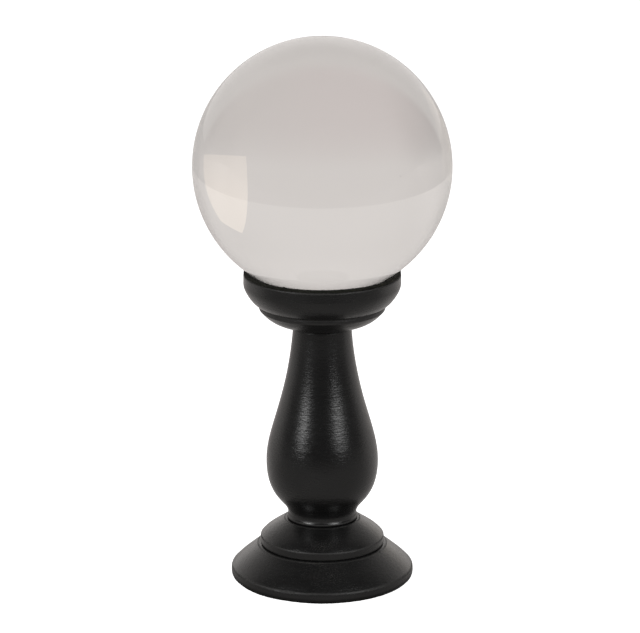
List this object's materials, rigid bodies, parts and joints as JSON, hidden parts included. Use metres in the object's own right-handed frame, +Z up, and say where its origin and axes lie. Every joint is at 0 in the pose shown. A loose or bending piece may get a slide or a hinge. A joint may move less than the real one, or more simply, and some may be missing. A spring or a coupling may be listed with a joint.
{
  "type": "crystal ball on stand",
  "caption": "Clear solid glass ball resting in the felt-lined cup of a black turned-wood pedestal stand with a stepped round base; the ball lifts out.",
  "frame": {"origin": "centre of the underside, on the face that stands on the table", "axes": "+Z up along the stand's axis of revolution, from the base through the cup to the ball; every piece is a body of revolution, so X and Y may point any way"},
  "size_m": [0.08, 0.08, 0.1724],
  "materials": {
    "clear_glass": "polished solid clear glass",
    "painted_wood": "satin black paint on turned wood, with faint turning marks",
    "black_felt": "thin black felt with a raw cut edge",
    "zinc_steel": "bright zinc plate"
  },
  "bodies": {
    "stand": {"seat_felt": "black_felt", "cup": "painted_wood", "cup_screw": "zinc_steel", "stem": "painted_wood", "upper_base": "painted_wood", "lower_base": "painted_wood", "base_screw": "zinc_steel", "base_washer": "zinc_steel", "base_felt": "black_felt"},
    "ball": {"crystal_ball": "clear_glass"}
  },
  "joints": [
    {"name": "ball_lift", "type": "slide", "parent": "stand", "child": "ball", "axis": [0, 0, 1], "range_m": [0, 0.08]}
  ]
}
